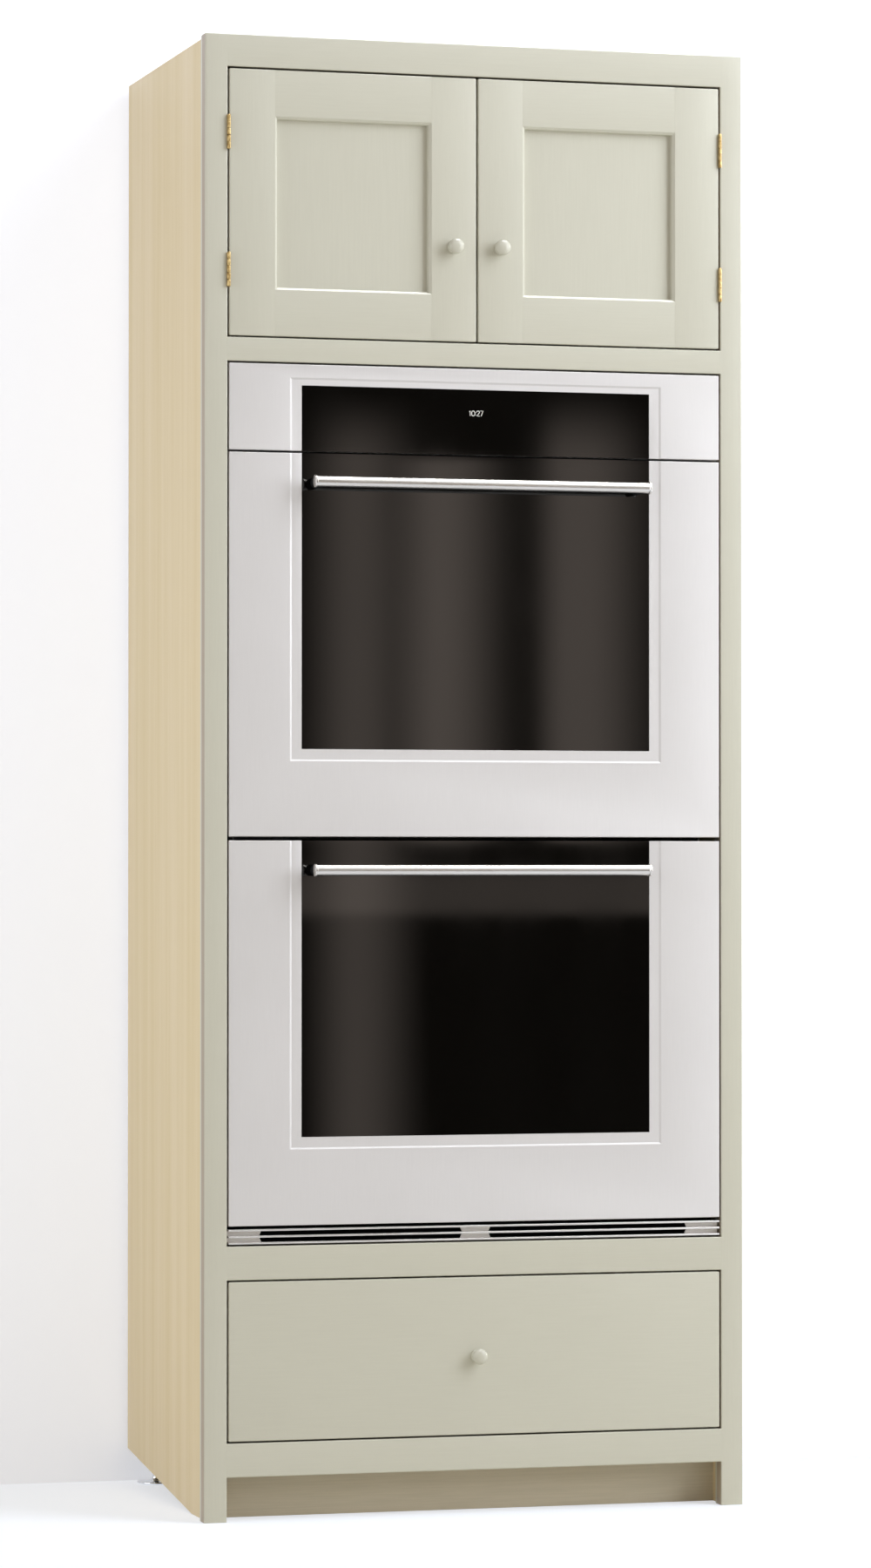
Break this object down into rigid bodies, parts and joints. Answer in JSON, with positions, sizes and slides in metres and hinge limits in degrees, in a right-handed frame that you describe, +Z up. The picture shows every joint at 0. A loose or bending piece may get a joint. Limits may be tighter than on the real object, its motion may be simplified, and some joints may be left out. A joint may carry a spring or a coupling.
{
  "type": "tall oven housing unit",
  "caption": "Tall in-frame kitchen housing for a built-in double oven, with a panelled two-door cupboard above and a deep drawer below.",
  "frame": {"origin": "on the floor, under the middle of the whole unit's box", "axes": "+Z up; -Y is the front, with the doors and handles; +X is to the right as seen from the front"},
  "size_m": [0.83, 0.5902, 2.176],
  "materials": {
    "painted_wood": "satin paint",
    "maple_board": "lacquered maple-faced board",
    "drawer_maple": "clear lacquered maple",
    "oven_steel": "fine satin",
    "handle_steel": "fine satin, black posts",
    "black_glass": "black enamelled, polished",
    "casing_zinc": "zinc coated",
    "oven_enamel": "vitreous enamel",
    "rack_chrome": "bright",
    "foot_chrome": "bright",
    "hinge_brass": "polished",
    "runner_zinc": "zinc plated",
    "element_steel": "heat darkened",
    "vent_grey": "satin grey",
    "seal_rubber": "woven glass fibre and silicone, dark",
    "black_plastic": "moulded",
    "motor_steel": "zinc plated"
  },
  "bodies": {
    "cabinet": {"stile_left": "painted_wood", "stile_right": "painted_wood", "top_rail": "painted_wood", "cupboard_rail": "painted_wood", "oven_rail": "painted_wood", "bottom_rail": "painted_wood", "plinth_board": "painted_wood", "side_panel_left": "maple_board", "side_panel_right": "maple_board", "top_panel": "maple_board", "cupboard_floor": "maple_board", "oven_deck": "maple_board", "drawer_floor": "maple_board", "back_panels": "maple_board", "fixing_rail": "maple_board", "cupboard_shelf": "maple_board", "control_panel": "oven_steel", "control_display": "black_glass", "oven_casing": "casing_zinc", "upper_cavity": "oven_enamel", "lower_cavity": "oven_enamel", "oven_racks": "rack_chrome", "rack_guides": "rack_chrome", "shelf_pins": "rack_chrome", "frame_hinge_leaves": "hinge_brass", "hinge_pins": "hinge_brass", "runner_channels": "runner_zinc", "oven_hinges": "runner_zinc", "heating_elements": "element_steel", "fan_covers": "element_steel", "vent_grille": "vent_grey", "door_seals": "seal_rubber", "leg_sockets": "black_plastic", "cable_inlet": "black_plastic", "fan_motors": "motor_steel"},
    "left_door": {"left_door_frame": "painted_wood", "left_door_panel": "painted_wood", "left_door_knob": "painted_wood", "left_hinge_leaves": "hinge_brass"},
    "right_door": {"right_door_frame": "painted_wood", "right_door_panel": "painted_wood", "right_door_knob": "painted_wood", "right_hinge_leaves": "hinge_brass"},
    "drawer": {"drawer_front": "painted_wood", "drawer_box": "drawer_maple", "drawer_knob": "painted_wood", "runner_slides": "runner_zinc"},
    "middle_runners": {"runner_middles": "runner_zinc"},
    "upper_oven_door": {"upper_door_face": "oven_steel", "upper_door_glass": "black_glass", "upper_door_liner": "oven_enamel", "upper_door_handle": "handle_steel"},
    "lower_oven_door": {"lower_door_face": "oven_steel", "lower_door_glass": "black_glass", "lower_door_liner": "oven_enamel", "lower_door_handle": "handle_steel"},
    "upper_oven_fan": {"upper_fan": "motor_steel"},
    "lower_oven_fan": {"lower_fan": "motor_steel"},
    "rear_left_foot": {"left_foot": "foot_chrome"},
    "rear_right_foot": {"right_foot": "foot_chrome"}
  },
  "joints": [
    {"name": "left_door_hinge", "type": "hinge", "parent": "cabinet", "child": "left_door", "pos_m": [-0.37965, -0.2538, 1.931], "axis": [0, 0, -1], "range_deg": [0, 165]},
    {"name": "right_door_hinge", "type": "hinge", "parent": "cabinet", "child": "right_door", "pos_m": [0.37965, -0.2538, 1.931], "axis": [0, 0, 1], "range_deg": [0, 165]},
    {"name": "upper_oven_door_hinge", "type": "hinge", "parent": "cabinet", "child": "upper_oven_door", "pos_m": [0, -0.2399, 1.0219], "axis": [1, 0, 0], "range_deg": [0, 90]},
    {"name": "lower_oven_door_hinge", "type": "hinge", "parent": "cabinet", "child": "lower_oven_door", "pos_m": [0, -0.2399, 0.4529], "axis": [1, 0, 0], "range_deg": [0, 90]},
    {"name": "drawer_slide", "type": "slide", "parent": "cabinet", "child": "drawer", "axis": [0, -1, 0], "range_m": [0, 0.42]},
    {"name": "middle_runners_slide", "type": "slide", "parent": "cabinet", "child": "middle_runners", "axis": [0, -1, 0], "range_m": [0, 0.21]},
    {"name": "upper_fan_spin", "type": "hinge", "parent": "cabinet", "child": "upper_oven_fan", "pos_m": [0, 0.2041, 1.2749], "axis": [0, 1, 0], "continuous": true},
    {"name": "lower_fan_spin", "type": "hinge", "parent": "cabinet", "child": "lower_oven_fan", "pos_m": [0, 0.2041, 0.7059], "axis": [0, 1, 0], "continuous": true},
    {"name": "left_foot_screw", "type": "slide", "parent": "cabinet", "child": "rear_left_foot", "axis": [0, 0, 1], "range_m": [-0.015, 0]},
    {"name": "right_foot_screw", "type": "slide", "parent": "cabinet", "child": "rear_right_foot", "axis": [0, 0, 1], "range_m": [-0.015, 0]}
  ],
  "couplings": [
    {"joint": "middle_runners_slide", "follows": "drawer_slide", "ratio": 0.5}
  ]
}
